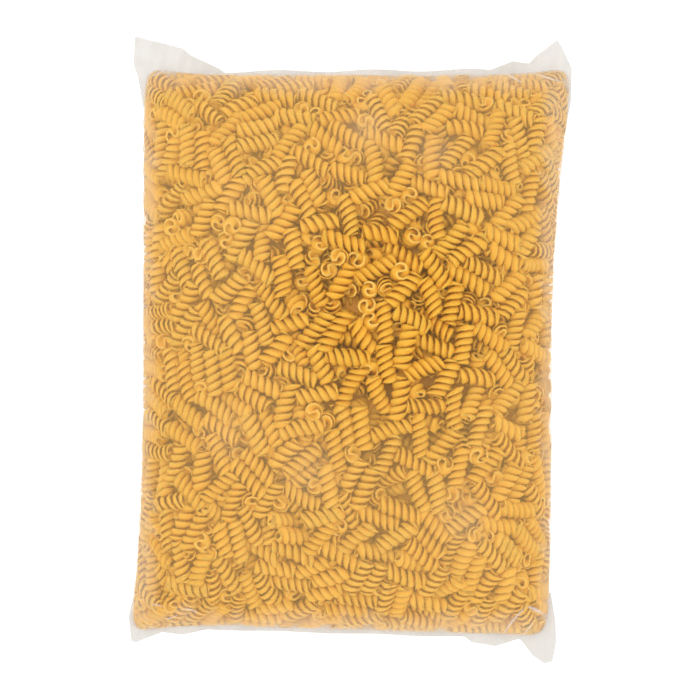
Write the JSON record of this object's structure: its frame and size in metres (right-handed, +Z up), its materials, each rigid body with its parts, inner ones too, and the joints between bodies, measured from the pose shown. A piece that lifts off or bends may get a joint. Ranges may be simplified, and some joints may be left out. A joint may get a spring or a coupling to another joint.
{
  "type": "bag of corkscrew pasta",
  "caption": "Clear sealed film bag filled with short corkscrew pasta, lying flat on its back, with a thin sealed fin and two pointed ears at each end.",
  "frame": {"origin": "centre of the bag's outline seen from above, at the height of the surface that it rests on", "axes": "+X to the bag's right, +Y to its top end along its length, +Z up, out of the side that the picture shows"},
  "size_m": [0.3212, 0.455, 0.1225],
  "materials": {
    "pasta": "dry matt pasta, golden yellow",
    "film": "clear film, slightly milky"
  },
  "bodies": {
    "root": {"pasta_bag": "pasta"}
  },
  "joints": []
}
